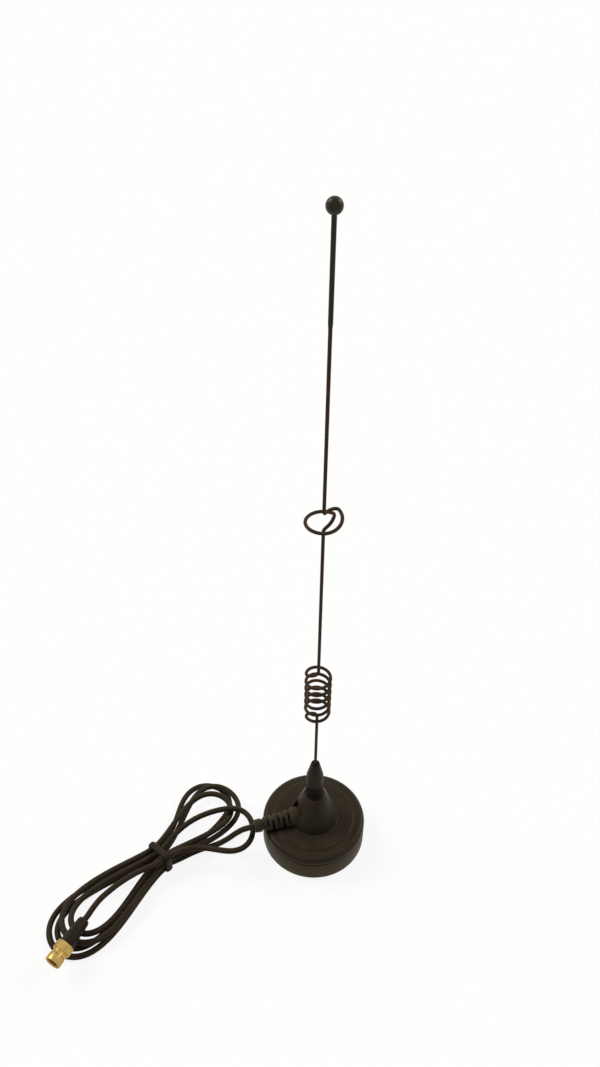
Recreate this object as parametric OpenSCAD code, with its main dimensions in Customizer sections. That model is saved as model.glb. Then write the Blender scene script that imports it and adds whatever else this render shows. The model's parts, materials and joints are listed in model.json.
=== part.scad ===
// Magnetic-base whip antenna with a coiled coaxial cable and a screw-on plug.
// Millimetres, +Z up, origin at the centre of the base's underside, cable outlet along -X.

/* [Base] */
// Outer diameter of the base
base_d = 50; // [44:1:56]
// Height of the base rim's top face
base_h = 14.7; // [13.5:0.1:17]
// Height of the seam between housing and cover
seam_h = 11.2; // [10.6:0.1:11.8]
// Radius of the cover's rounded rim
rim_round = 2.5; // [1.5:0.1:2.6]
// Diameter of the raised platform on the cover
platform_d = 38.6; // [32:0.2:42]
// Height of the raised platform above the rim
platform_h = 0.7; // [0.3:0.1:1.2]
// Thickness of the rubber pad under the base
pad_h = 1; // [0.6:0.1:1.6]
// Thickness of the ring magnet
magnet_h = 5.5; // [4:0.1:6]

/* [Boss] */
// Diameter of the boss at its foot
boss_d = 23.4; // [21:0.2:26]
// Diameter of the boss at its top
boss_top_d = 11; // [10:0.1:12]
// Height of the boss's top face
boss_h = 33; // [31:0.5:37]

/* [Whip] */
// Diameter of the spring wire
wire_d = 1.25; // [1:0.05:1.4]
// Diameter of the whip's foot ferrule
ferrule_d = 8.2; // [7.6:0.1:9]
// Length of the whip's foot ferrule
ferrule_h = 22; // [20:0.5:26]
// Diameter of the threaded stud
stud_d = 5; // [4:0.5:5]
// Length of the stud below the ferrule
stud_h = 8.5; // [7:0.5:9]
// Height of the coil's first curl
coil_z = 90.1; // [84:0.5:96]
// Height that the coil's curls climb
coil_h = 25.8; // [22:0.2:30]
// Mean diameter of the coil
coil_d = 10.4; // [8:0.2:12]
// Number of curls in the coil
coil_turns = 6; // [5:1:7]
// Height of the phasing loop's first spoke
loop_z = 192.4; // [180:0.2:205]
// Height that the phasing loop climbs
loop_h = 6.2; // [5:0.1:9]
// Mean diameter of the phasing loop
loop_d = 13.4; // [11:0.2:16]
// Diameter of the thin sleeve below the ball
sleeve_d = 1.6; // [1.5:0.05:1.9]
// Height of the sleeve's lower end
sleeve_z = 270; // [260:1:285]
// Diameter of the ball tip
ball_d = 5.3; // [4.5:0.1:6]
// Height of the ball's centre
ball_z = 306.4; // [295:0.2:315]

/* [Cable] */
// Diameter of the cable
cable_d = 2.8; // [2.4:0.1:2.8]
// Height of the strain relief's axis
relief_z = 17; // [16.8:0.1:18]
// Diameter of the strain relief's collar
collar_d = 9.5; // [8.6:0.1:10]
// Diameter of the strain relief's tip
relief_tip_d = 6; // [5:0.1:7]
// Distance of the strain relief's tip from the base axis
relief_reach = 30; // [28:0.5:31]
// Width of the twist tie
tie_w = 3.4; // [2:0.1:4.5]
// Thickness of the twist tie
tie_t = 0.7; // [0.4:0.05:0.8]

/* [Plug] */
// Diameter of the plug's boot
boot_d = 5.8; // [5.2:0.1:6.2]
// Length of the plug's boot
boot_l = 10.5; // [9:0.5:12]
// Width of the coupling nut across its flats
nut_af = 8; // [7.6:0.1:8.6]
// Diameter of the coupling nut's round front
nut_front_d = 7.4; // [6.8:0.1:7.6]
// Length of the coupling nut
nut_l = 10.2; // [10:0.2:12]
// Direction of the plug in plan
plug_turn = 227; // [216:1:232]
// Angle of the plug below level
plug_dip = 0; // [-3:0.5:3]

/* [Hidden] */
$fn = 64;
// Gap that lets one piece slide into another
slip = 0.05;
// Gap that shows as a seam
seam = 0.6;
// Overlap used only to cut cleanly
cut = 1;
base_r = base_d / 2;
wall = 1.7;
inner_r = base_r - wall;
lip_r = inner_r - 1.5;
cup_r = lip_r - 2 * slip;
cup_wall = 1.5;
flange_z = pad_h + 1.2;
flange_h = 1.2;
cup_top = pad_h + magnet_h + cup_wall;
magnet_r = cup_r - cup_wall - slip;
magnet_hole_r = 5;
plate_h = 0.5;
roof_z = seam_h + 0.2;
platform_r = platform_d / 2;
platform_z = base_h + platform_h;
boss_r = boss_d / 2;
boss_top_r = boss_top_d / 2;
boss_bulge = 0.1;
boss_steps = 10;
cavity_r = 6.2;
cavity_top = relief_z + 4.4;
socket_r = boss_top_r - 1.6;
socket_top = boss_h - 0.2;
seal_h = 1;
seal_r = ferrule_d / 2 + 0.2;
stud_r = stud_d / 2;
ferrule_r = ferrule_d / 2;
ferrule_z = boss_h + seal_h;
ferrule_top = ferrule_z + ferrule_h;
stud_top = ferrule_z + 4;
stud_low = ferrule_z - stud_h;
wire_r = wire_d / 2;
wire_low = ferrule_top - 8;
bend_r = 1.5;
coil_low = coil_z - bend_r - wire_d;
coil_top = coil_z + coil_h + bend_r + wire_d;
coil_start = 138;
coil_ramp = 50;
coil_sweep = 360 * coil_turns + 70;
loop_start = 10;
loop_sweep = 402;
loop_ramp = 32;
relief_r = collar_d / 2;
collar_end = 11.5;
relief_root = 4.2;
slot_pitch = 2.6;
slot_w = 1.2;
web = 2.2;
channel_r = relief_r + 0.25;
relief_end = [-relief_reach, 0, relief_z];

// The hank: a figure of eight of eight loops, drawn in at the tie
strand = cable_d + 0.64;
tie_lift = tie_t + 0.3;
hank_waist = [-76, 4];
hank_yaw = 28;
hank_blunt = 0.06;
hank_soft = 0.3;
hank_rings = 24;
waist_side = [-1.5, 1.5, -0.5, 0.5, -1.5, 1.5, -0.5, 0.5, -1.5];
waist_layer = [0, 0, 0, 0, 1, 1, 1, 1, 2];
loop_reach = [60, 48, 56.5, 48, 53.5, 42, 49.5, 46];
loop_wide = [23, 21, 20.5, 22.6, 20, 17.5, 17.5, 21];
loop_turn = [2, 14, 2, 6, 3, 1, 3, -26];
loop_layer = [0, 0, 0, 1, 1, 2, 1, 3];

// The plug, measured along its axis from the boot's rear face
plug_start = [-113.2, -21.5, 9.8];
plug_way = [cos(plug_turn) * cos(plug_dip), sin(plug_turn) * cos(plug_dip), -sin(plug_dip)];
boot_r = boot_d / 2;
crimp_z = 3.5;
crimp_r = 2.15;
tail_r = 1.7;
tail_bore = 0.95;
body_flange = boot_l + 0.6;
neck_r = 2.6;
nut_z = body_flange + 0.3;
nut_r = nut_af / 2;
nut_bore = 2.85;
lip_h = 1.6;
ring_z = nut_z + lip_h + 0.1;
ring_h = 0.7;
neck_end = ring_z + ring_h + 0.9;
shield_r = 2.3;
shield_bore = 2.05;
shield_end = nut_z + nut_l - 1.8;
core_end = shield_end - 1.1;
pin_r = 0.46;

// The free cord between the strain relief and the hank
lead_points = [
    [-36, 0, 16.6],
    [-39.5, 1.3, 12.6],
    [-43, 2.4, 8.2],
    [-47, 3.6, 4.2],
    [-51.5, 4.4, 1.9],
    [-56, 4.4, 1.6],
    [-61, 3.5, 1.7],
    [-67, 1.7, 2.2]];
// The free cord between the hank and the plug
tail_points = [
    [-82, -3.4, 9.6],
    [-88, -5, 10.2],
    [-96, -8.8, 11.4],
    [-104, -13.4, 11.5],
    [-108.2, -16.6, 10.8]];

function unit(v) = v / norm(v);
function link(p, i) = unit(p[i + 1] - p[i]);
// The direction at each point; where an end's direction is given, it holds at both ends
function end_way(p, i, ends) = ends == undef ? link(p, i) : ends;
function tangents(p, ends) = let (m = len(p) - 1)
    concat(
        [end_way(p, 0, ends)],
        [for (i = [1 : m - 1]) unit(link(p, i - 1) + link(p, i))],
        [end_way(p, m - 1, ends)]);
function across(t) = unit(cross(t, abs(t.z) < 0.9 ? [0, 0, 1] : [1, 0, 0]));
function square_to(s, t) = t == undef ? s : unit(s - (s * t) * t);
function sides(t) = [for (i = 0, s = across(t[0]); i < len(t); i = i + 1, s = square_to(s, t[i])) s];
function ring(p, t, s, r, n) = let (b = cross(t, s))
    [for (k = [0 : n - 1]) p + r * (cos(360 * k / n) * s + sin(360 * k / n) * b)];

// A smooth curve through a list of points, with n steps to each span
function between(p, i, f) = let (a = p[max(i - 1, 0)], b = p[i], c = p[i + 1], d = p[min(i + 2, len(p) - 1)])
    b + f * (c - a) / 2 + f * f * (2 * a - 5 * b + 4 * c - d) / 2 + f * f * f * (3 * b - a - 3 * c + d) / 2;
function smooth(p, n) = concat(
    [for (i = [0 : len(p) - 2]) for (k = [0 : n - 1]) between(p, i, k / n)],
    [p[len(p) - 1]]);

// A wire curl that leaves the axis, sweeps round it and comes back to it
function curl_r(a, sweep, big, ramp) = big * sin(90 * min(1, a / ramp, (sweep - a) / ramp));
function curl_drop(r) = r < bend_r ? bend_r - sqrt(bend_r * bend_r - (bend_r - r) * (bend_r - r)) : 0;
function curl_point(a, rise, big, start, sweep, ramp) =
    let (r = curl_r(a, sweep, big, ramp), way = a < sweep / 2 ? -1 : 1)
    [r * cos(start + a), r * sin(start + a), rise(a) + way * curl_drop(r)];
function curl_angles(big, sweep, ramp, step) =
    let (head = [for (e = [0 : 18 : 90]) ramp / 90 * asin(bend_r * (1 - cos(e)) / big)],
        run = sweep - 2 * head[5],
        n = ceil(run / step))
    concat(head, [for (k = [1 : n - 1]) head[5] + run * k / n], [for (k = [5 : -1 : 0]) sweep - head[k]]);
function curl(rise, big, start, sweep, ramp, step) =
    [for (a = curl_angles(big, sweep, ramp, step)) curl_point(a, rise, big, start, sweep, ramp)];

// The coil climbs evenly; the loop lifts at its first spoke, runs level and lifts again on its way back
function ease(t) = let (u = max(0, min(1, t))) u * u * (3 - 2 * u);
coil_rise = function (a) coil_z + coil_h * a / coil_sweep;
loop_rise = function (a) loop_z + loop_h * (0.46 * ease(a / 24) + 0.54 * ease((a - 240) / 162));

// One loop of the hank, from waist place k to waist place k + 1
function turned(u, v, t) = [u * cos(t) - v * sin(t), u * sin(t) + v * cos(t)];
function hank_point(k, th) =
    let (s = sin(th), c = cos(th), a = strand * waist_side[k], b = strand * waist_side[k + 1],
        open = (1 + hank_soft) * s * s / (s + hank_soft),
        u = (k % 2 == 0 ? -1 : 1) * loop_reach[k] * s * (1 + hank_blunt * c * c),
        v = (a + b) / 2 * c * c + c * ((a - b) / 2 + sign(a - b) * loop_wide[k] * open),
        w = waist_layer[c > 0 ? k : k + 1],
        hold = pow(c, 8),
        flat = turned(u, v, loop_turn[k] * (1 - hold)),
        z = cable_d / 2 + tie_lift * hold + strand * (w * hold + loop_layer[k] * (1 - hold)))
    concat(hank_waist + turned(flat.x, flat.y, hank_yaw), z);
hank_path = concat(
    [for (k = [0 : 7]) for (i = [0 : hank_rings - 1]) hank_point(k, 180 * i / hank_rings)],
    [hank_point(7, 180)]);
hank_first = hank_path[0];
hank_last = hank_path[len(hank_path) - 1];
hank_way = [-cos(hank_yaw), -sin(hank_yaw), 0];

lead_path = concat(
    [relief_end],
    smooth(concat(
        [relief_end - [cable_d, 0, 0]],
        lead_points,
        [hank_first - cable_d * hank_way]), 3),
    [hank_first]);
tail_path = concat(
    [hank_last],
    smooth(concat(
        [hank_last + cable_d * hank_way],
        tail_points,
        [plug_start - cable_d * plug_way]), 3),
    [plug_start]);
coil_path = concat(
    [[0, 0, coil_low]],
    curl(coil_rise, coil_d / 2, coil_start, coil_sweep, coil_ramp, 15),
    [[0, 0, coil_top]]);
upper_path = concat(
    [[0, 0, coil_top]],
    curl(loop_rise, loop_d / 2, loop_start, loop_sweep, loop_ramp, 9),
    [[0, 0, ball_z]]);

// Lengths and least gaps, measured on the points
function run(p) = [for (i = 0, s = 0; i < len(p); i = i + 1, s = s + (i < len(p) ? norm(p[i] - p[i - 1]) : 0)) s];
function total(p) = let (s = run(p)) s[len(s) - 1];
function near(p, d) = let (s = run(p))
    min([for (i = [0 : len(p) - 1]) for (j = [i + 1 : len(p) - 1]) if (s[j] - s[i] > 4 * d) norm(p[i] - p[j]) - d]);
function apart(p, q, d) = min([for (a = p) for (b = q) norm(a - b) - d]);
function kept(p, low, high) = [for (i = [low : high]) p[i]];
echo(coil_gap = near(coil_path, wire_d), loop_gap = near(upper_path, wire_d));
echo(hank_gap = near(hank_path, cable_d), hank_length = total(hank_path));
echo(lead_gap = apart(kept(lead_path, 0, len(lead_path) - 4), kept(hank_path, 8, len(hank_path) - 1), cable_d));
echo(tail_gap = apart(kept(tail_path, 3, len(tail_path) - 1), kept(hank_path, 0, len(hank_path) - 8), cable_d));
echo(lead_length = total(lead_path), tail_length = total(tail_path));

module tube(p, d, n, ends) {
    t = tangents(p, ends);
    s = sides(t);
    m = len(p) - 1;
    polyhedron(
        points = [for (i = [0 : m]) each ring(p[i], t[i], s[i], d / 2, n)],
        faces = concat(
            [for (k = [1 : n - 2]) [0, k, k + 1]],
            [for (i = [0 : m - 1]) for (k = [0 : n - 1])
                [i * n + k, (i + 1) * n + k, (i + 1) * n + (k + 1) % n]],
            [for (i = [0 : m - 1]) for (k = [0 : n - 1])
                [i * n + k, (i + 1) * n + (k + 1) % n, i * n + (k + 1) % n]],
            [for (k = [1 : n - 2]) [m * n, m * n + k + 1, m * n + k]]),
        convexity = 20);
}

module rod(r, low, high) {
    translate([0, 0, low])
        cylinder(r = r, h = high - low);
}

module bush(r, hole, low, high) {
    difference() {
        rod(r, low, high);
        rod(hole, low - cut, high + cut);
    }
}

module on_plug() {
    translate(plug_start)
        rotate([0, 90 + plug_dip, plug_turn])
            children();
}

// Local +Z points out along the cable outlet
module on_relief() {
    translate([0, 0, relief_z])
        rotate([0, -90, 0])
            children();
}

function boss_at(f) = [
    boss_r + (boss_top_r - boss_r) * f + boss_bulge * sin(180 * f),
    platform_z + 0.8 + (boss_h - 0.4 - platform_z - 0.8) * f];

module base_cover() {
    skirt_r = inner_r - 2 * slip;
    skirt_z = flange_z + flange_h;
    edge_z = seam_h + seam / 2;
    color([0.19, 0.17, 0.14])
        difference() {
            rotate_extrude($fn = 96)
                polygon(concat(
                    [[0, roof_z], [skirt_r - 1.3, roof_z], [skirt_r - 1.3, skirt_z], [skirt_r, skirt_z],
                        [skirt_r, edge_z], [base_r - 0.15, edge_z]],
                    [for (e = [0 : 15 : 90]) [
                        base_r - rim_round + rim_round * cos(e),
                        max(edge_z + 0.15, base_h - rim_round + rim_round * sin(e))]],
                    [[platform_r + 0.5, base_h], [platform_r, platform_z], [boss_r + 0.8, platform_z],
                        [boss_r + 0.25, platform_z + 0.25]],
                    [for (i = [0 : boss_steps]) boss_at(i / boss_steps)],
                    [[boss_top_r - 0.4, boss_h], [0, boss_h]]));
            rod(socket_r + slip, cavity_top - cut, boss_h + cut);
            rod(cavity_r, roof_z - cut, cavity_top);
            on_relief()
                rod(channel_r, boss_top_r + 2, base_r + cut);
            on_relief()
                rod(relief_root + slip, 0, base_r);
        }
}

module base_housing() {
    color([0.23, 0.2, 0.16])
        rotate_extrude($fn = 96)
            polygon([
                [inner_r, pad_h - 0.6], [base_r - 0.5, pad_h - 0.6], [base_r, pad_h - 0.1],
                [base_r, seam_h - seam / 2 - 0.2], [base_r - 0.2, seam_h - seam / 2],
                [inner_r, seam_h - seam / 2], [inner_r, flange_z], [lip_r, flange_z],
                [lip_r, pad_h], [inner_r, pad_h]]);
}

module bottom_pad() {
    color([0.08, 0.08, 0.08])
        rod(inner_r - 2 * slip, 0, pad_h);
}

module magnet_cup() {
    color([0.6, 0.6, 0.62])
        rotate_extrude($fn = 96)
            polygon([
                [cup_r - cup_wall, pad_h], [cup_r, pad_h], [cup_r, flange_z], [inner_r - 2 * slip, flange_z],
                [inner_r - 2 * slip, flange_z + flange_h], [cup_r, flange_z + flange_h], [cup_r, cup_top],
                [0, cup_top], [0, cup_top - cup_wall], [cup_r - cup_wall, cup_top - cup_wall]]);
}

module ring_magnet() {
    color([0.25, 0.25, 0.26])
        bush(magnet_r, magnet_hole_r, pad_h, pad_h + magnet_h);
}

module ground_plate() {
    color([0.72, 0.72, 0.7])
        rod(cup_r - 0.4, cup_top, cup_top + plate_h);
}

module whip_socket() {
    color([0.8, 0.65, 0.3])
        difference() {
            union() {
                rod(socket_r, cavity_top - 1, socket_top);
                rod(cavity_r - 0.4, cavity_top - 1.6, cavity_top);
                rod(1.2, relief_z - 1, cavity_top);
            }
            rod(stud_r + slip, stud_low - 1, socket_top + cut);
            on_relief()
                rod(0.27, -0.4, 3);
        }
}

module feed_core() {
    color([0.9, 0.9, 0.88])
        on_relief() {
            rod(0.75, 1.8, relief_root + 2.1);
            rod(0.25, -0.2, 1.8);
        }
}

module shield_pigtail() {
    color([0.75, 0.68, 0.55])
        translate([-4.6, 0, 0])
            rod(0.5, cup_top + plate_h, relief_z - 0.75);
}

module strain_relief() {
    boot_r1 = relief_r - 0.5;
    boot_r2 = relief_tip_d / 2;
    color([0.2, 0.18, 0.15])
        on_relief()
            difference() {
                union() {
                    rod(relief_root, relief_root + 2.1, collar_end - cut);
                    rod(relief_r - 0.3, boss_top_r + 2.2, collar_end);
                    rod(relief_r, boss_top_r + 2.5, collar_end - 0.3);
                    translate([0, 0, collar_end - cut])
                        cylinder(r1 = boot_r1, r2 = boot_r2, h = relief_reach - collar_end + cut);
                }
                for (i = [0 : 5])
                    for (way = [0, 180])
                        rotate([0, 0, way + 90 * (i % 2)])
                            translate([web / 2, -collar_d, collar_end + 0.9 + i * slot_pitch])
                                cube([collar_d, 2 * collar_d, slot_w]);
            }
}

module whip_seal() {
    color([0.07, 0.07, 0.07])
        bush(seal_r, stud_r + 2 * slip, boss_h, ferrule_z);
}

module whip_ferrule() {
    band = ferrule_z + 7.5;
    nose = ferrule_top - 8.5;
    dome = ferrule_top - 1.6;
    color([0.15, 0.13, 0.11])
        difference() {
            rotate_extrude($fn = 64)
                polygon(concat(
                    [[0, ferrule_z], [ferrule_r - 0.3, ferrule_z], [ferrule_r, ferrule_z + 0.3],
                        [ferrule_r, band - 0.3], [ferrule_r - 0.25, band], [ferrule_r - 0.25, nose]],
                    [for (e = [0 : 15 : 75]) [0.9 + cos(e), dome + 1.6 * sin(e)]],
                    [[0.9, ferrule_top], [0, ferrule_top]]));
            rod(stud_r + slip / 2, ferrule_z - cut, stud_top);
            rod(wire_r + slip / 2, wire_low, ferrule_top + cut);
        }
}

module whip_stud() {
    color([0.8, 0.65, 0.3])
        rod(stud_r, stud_low, stud_top);
}

module lower_wire() {
    color([0.15, 0.13, 0.11])
        rod(wire_r, wire_low, coil_low);
}

module whip_coil() {
    color([0.15, 0.13, 0.11])
        tube(coil_path, wire_d, 6);
}

module upper_wire() {
    color([0.15, 0.13, 0.11])
        tube(upper_path, wire_d, 8);
}

module tip_sleeve() {
    color([0.12, 0.11, 0.1])
        bush(sleeve_d / 2, wire_r + slip / 2, sleeve_z, ball_z - ball_d / 2 + 0.6);
}

module ball_tip() {
    color([0.06, 0.06, 0.06])
        difference() {
            translate([0, 0, ball_z])
                sphere(r = ball_d / 2);
            rod(sleeve_d / 2 + slip / 2, ball_z - ball_d, ball_z - ball_d / 2 + 0.6);
            rod(wire_r + slip / 2, ball_z - ball_d, ball_z);
        }
}

module cable_lead() {
    color([0.18, 0.16, 0.13])
        tube(lead_path, cable_d, 8);
}

module cable_hank() {
    color([0.18, 0.16, 0.13])
        tube(hank_path, cable_d, 6, hank_way);
}

module cable_tail() {
    color([0.18, 0.16, 0.13])
        tube(tail_path, cable_d, 8);
}

module bar(a, b, r) {
    way = b - a;
    translate(a)
        rotate(atan2(way.y, way.x))
            translate([0, -r])
                square([norm(way), 2 * r]);
    translate(a)
        circle(r = r, $fn = 32);
}

// The outline of the bundle at the tie, grown by a margin
module bundle(margin) {
    side = 1.5 * strand;
    low = cable_d / 2 + tie_lift;
    spots = [[-side, low], [side, low], [side, low + strand], [-side, low + 2 * strand]];
    polygon(spots);
    for (i = [0 : 3])
        bar(spots[i], spots[(i + 1) % 4], cable_d / 2 + margin);
}

module hank_tie() {
    color([0.1, 0.1, 0.1])
        translate([hank_waist.x, hank_waist.y, 0])
            rotate([90, 0, 90 + hank_yaw])
                translate([0, 0, -tie_w / 2])
                    linear_extrude(height = tie_w)
                        difference() {
                            bundle(0.2 + tie_t);
                            bundle(0.2);
                        }
}

module connector_boot() {
    color([0.09, 0.08, 0.08])
        on_plug()
            difference() {
                union() {
                    cylinder(r1 = boot_r - 0.5, r2 = boot_r, h = 1.2);
                    rod(boot_r, 1.1, boot_l);
                }
                rod(crimp_r + slip, crimp_z, boot_l + cut);
            }
}

module crimp_ferrule() {
    color([0.83, 0.66, 0.3])
        on_plug()
            bush(crimp_r, tail_r + slip, crimp_z, boot_l);
}

module connector_body() {
    color([0.85, 0.68, 0.32])
        on_plug()
            difference() {
                union() {
                    rod(tail_r, crimp_z + 0.5, boot_l + cut);
                    rod(boot_r + 0.2, boot_l, body_flange);
                    rod(neck_r, boot_l, neck_end);
                    rod(shield_r, neck_end - cut, shield_end);
                }
                rod(tail_bore, 0, body_flange);
                rod(shield_bore, body_flange, shield_end + cut);
                bush(neck_r + cut, neck_r - 0.35, ring_z, ring_z + ring_h + 0.1);
            }
}

module coupling_nut() {
    hex_end = nut_z + nut_l - 5.4;
    color([0.85, 0.68, 0.32])
        on_plug()
            difference() {
                union() {
                    intersection() {
                        translate([0, 0, nut_z])
                            linear_extrude(height = hex_end - nut_z)
                                polygon([for (a = [30 : 60 : 330]) nut_r / cos(30) * [cos(a), sin(a)]]);
                        rotate_extrude()
                            polygon([
                                [0, nut_z], [nut_r, nut_z], [nut_r + 0.62, nut_z + 0.5],
                                [nut_r + 0.62, hex_end - 0.5], [nut_r - 0.1, hex_end], [0, hex_end]]);
                    }
                    rod(nut_front_d / 2 - 0.3, hex_end - cut, hex_end + 1.4);
                    rod(nut_front_d / 2, hex_end + 1.2, nut_z + nut_l);
                }
                rod(neck_r + slip, nut_z - cut, nut_z + cut * 2);
                rod(neck_r + 0.5, ring_z - 0.1, ring_z + ring_h + 0.2);
                rod(nut_bore, ring_z + ring_h, nut_z + nut_l + cut);
            }
}

module retaining_ring() {
    color([0.7, 0.6, 0.4])
        on_plug()
            difference() {
                bush(neck_r + 0.4, neck_r - 0.35, ring_z, ring_z + ring_h);
                translate([0, -0.4, ring_z - cut])
                    cube([neck_r * 2, 0.8, ring_h + 2 * cut]);
            }
}

module plug_insulator() {
    color([0.93, 0.93, 0.9])
        on_plug()
            bush(shield_bore - slip, pin_r + slip / 2, body_flange, core_end);
}

module centre_pin() {
    color([0.9, 0.72, 0.35])
        on_plug() {
            rod(0.6, body_flange - 3.5, body_flange - 1);
            rod(tail_bore - slip, body_flange - 1, body_flange);
            rod(pin_r, body_flange - cut / 2, shield_end + 0.2);
            translate([0, 0, shield_end + 0.2])
                cylinder(r1 = pin_r, r2 = 0.2, h = 0.5);
        }
}

module plug_gasket() {
    color([0.75, 0.25, 0.18])
        on_plug()
            bush(nut_bore - 0.1, shield_r + slip / 2, neck_end, neck_end + 0.8);
}

base_cover();
base_housing();
bottom_pad();
magnet_cup();
ring_magnet();
ground_plate();
whip_socket();
feed_core();
shield_pigtail();
strain_relief();
whip_seal();
whip_ferrule();
whip_stud();
lower_wire();
whip_coil();
upper_wire();
tip_sleeve();
ball_tip();
cable_lead();
cable_hank();
hank_tie();
cable_tail();
connector_boot();
crimp_ferrule();
connector_body();
coupling_nut();
retaining_ring();
plug_insulator();
centre_pin();
plug_gasket();
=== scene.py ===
"""A magnetic-base whip antenna with its tied cable and gold plug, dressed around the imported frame."""
import json
import math

import bpy
from mathutils import Matrix, Vector


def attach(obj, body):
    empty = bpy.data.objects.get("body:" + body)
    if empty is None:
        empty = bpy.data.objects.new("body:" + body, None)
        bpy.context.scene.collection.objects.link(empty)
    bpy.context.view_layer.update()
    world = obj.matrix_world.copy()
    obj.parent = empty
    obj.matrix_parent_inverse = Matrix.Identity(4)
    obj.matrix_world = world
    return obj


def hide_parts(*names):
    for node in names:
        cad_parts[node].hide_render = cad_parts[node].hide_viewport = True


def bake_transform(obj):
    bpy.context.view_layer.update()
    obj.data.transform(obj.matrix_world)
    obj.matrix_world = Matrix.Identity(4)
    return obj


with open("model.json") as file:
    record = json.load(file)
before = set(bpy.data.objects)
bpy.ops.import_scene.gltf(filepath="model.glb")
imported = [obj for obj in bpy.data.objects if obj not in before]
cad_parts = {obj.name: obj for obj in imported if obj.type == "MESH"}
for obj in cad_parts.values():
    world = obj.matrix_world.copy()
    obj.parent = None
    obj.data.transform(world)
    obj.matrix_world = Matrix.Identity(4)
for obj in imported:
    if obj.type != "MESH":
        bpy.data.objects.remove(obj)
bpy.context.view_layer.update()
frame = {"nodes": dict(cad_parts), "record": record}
MM = 0.001

# The photograph's camera: its focal length and height in pixels, tilt, roll and place round the part
FOCAL_PX, PHOTO_HEIGHT_PX, SENSOR_MM = 836, 1067, 36
TILT, ROLL, PART_TURN = math.radians(37.62), math.radians(-0.74), math.radians(-16)
EYE = Vector((-8.525, -242.125, 376.65))


def photo_camera():
    """Stands the camera where the photograph was taken from, looking down on the base."""
    turn = Matrix.Rotation(PART_TURN, 3, "Z")
    ahead = Vector((0, math.cos(TILT), -math.sin(TILT)))
    level = Vector((1, 0, 0))
    down = ahead.cross(level)
    right = math.cos(ROLL) * level + math.sin(ROLL) * down
    below = math.cos(ROLL) * down - math.sin(ROLL) * level
    data = bpy.data.cameras.new("photo_camera")
    data.sensor_width = SENSOR_MM
    data.lens = SENSOR_MM * FOCAL_PX / PHOTO_HEIGHT_PX
    data.clip_start, data.clip_end = 0.01, 100
    camera = bpy.data.objects.new("photo_camera", data)
    bpy.context.scene.collection.objects.link(camera)
    axes = Matrix((turn @ right, turn @ -below, turn @ -ahead)).transposed()
    camera.matrix_world = Matrix.Translation(turn @ EYE * MM) @ axes.to_4x4()
    bpy.context.scene.camera = camera


photo_camera()

# The cable, in millimetres: from the strain relief to the tied hank, round its eight loops, on to the plug
CABLE_D = 2.8
RELIEF_TIP = Vector((-30, 0, 17))
HANK_WAIST, HANK_YAW = Vector((-76, 4)), 28
STRAND, TIE_LIFT = CABLE_D + 0.64, 1.0
HANK_BLUNT, HANK_SOFT, HANK_HOLD = 0.06, 0.3, 8
LOOP_STEPS, FREE_STEPS = 48, 6
# Each loop's reach, half width, turn in degrees and layer
LOOPS = [
    (60, 23, 2, 0),
    (48, 21, 14, 0),
    (56.5, 20.5, 2, 0),
    (48, 22.6, 6, 1),
    (53.5, 20, 3, 1),
    (42, 17.5, 1, 2),
    (49.5, 17.5, 3, 1),
    (46, 21, -26, 3),
]
# Where the strands pass through the tie: place across it in strands, and layer
WAIST = [(-1.5, 0), (1.5, 0), (-0.5, 0), (0.5, 0), (-1.5, 1), (1.5, 1), (-0.5, 1), (0.5, 1), (-1.5, 2)]
LEAD = [
    (-36, 0, 16.6),
    (-39.5, 1.3, 12.6),
    (-43, 2.4, 8.2),
    (-47, 3.6, 4.2),
    (-51.5, 4.4, 1.9),
    (-56, 4.4, 1.6),
    (-61, 3.5, 1.7),
    (-67, 1.7, 2.2),
]
TAIL = [
    (-82, -3.4, 9.6),
    (-88, -5, 10.2),
    (-96, -8.8, 11.4),
    (-104, -13.4, 11.5),
    (-108.2, -16.6, 10.8),
]
PLUG_START, PLUG_TURN, PLUG_DIP = Vector((-113.2, -21.5, 9.8)), 227, 0


def sin_deg(a):
    return math.sin(math.radians(a))


def cos_deg(a):
    return math.cos(math.radians(a))


def heading(azimuth, elevation):
    """A step of length 1, so far round and up in degrees."""
    flat = cos_deg(elevation)
    return Vector((cos_deg(azimuth) * flat, sin_deg(azimuth) * flat, sin_deg(elevation)))


def turned_flat(u, v, angle):
    return Vector((u * cos_deg(angle) - v * sin_deg(angle), u * sin_deg(angle) + v * cos_deg(angle)))


def hank_point(k, angle):
    """A point on loop k of the hank, which leaves the tie at 0 degrees and comes back to it at 180."""
    reach, wide, turn, layer = LOOPS[k]
    s, c = sin_deg(angle), cos_deg(angle)
    a, b = STRAND * WAIST[k][0], STRAND * WAIST[k + 1][0]
    spread = (1 + HANK_SOFT) * s * s / (s + HANK_SOFT)
    u = (-1 if k % 2 == 0 else 1) * reach * s * (1 + HANK_BLUNT * c * c)
    v = (a + b) / 2 * c * c + c * ((a - b) / 2 + math.copysign(wide, a - b) * spread)
    hold = c**HANK_HOLD
    waist_layer = WAIST[k if c > 0 else k + 1][1]
    flat = turned_flat(u, v, turn * (1 - hold))
    z = CABLE_D / 2 + TIE_LIFT * hold + STRAND * (waist_layer * hold + layer * (1 - hold))
    return (HANK_WAIST + turned_flat(flat.x, flat.y, HANK_YAW)).to_3d() + Vector((0, 0, z))


def through(points, steps):
    """A smooth line through the points, with so many steps between each two."""
    p = [Vector(q) for q in points]
    line = []
    for i in range(len(p) - 1):
        a, b, c, d = p[max(i - 1, 0)], p[i], p[i + 1], p[min(i + 2, len(p) - 1)]
        for k in range(steps):
            f = k / steps
            line.append(
                b
                + f * (c - a) / 2
                + f * f * (2 * a - 5 * b + 4 * c - d) / 2
                + f * f * f * (3 * b - a - 3 * c + d) / 2
            )
    return line + [p[-1]]


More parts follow.
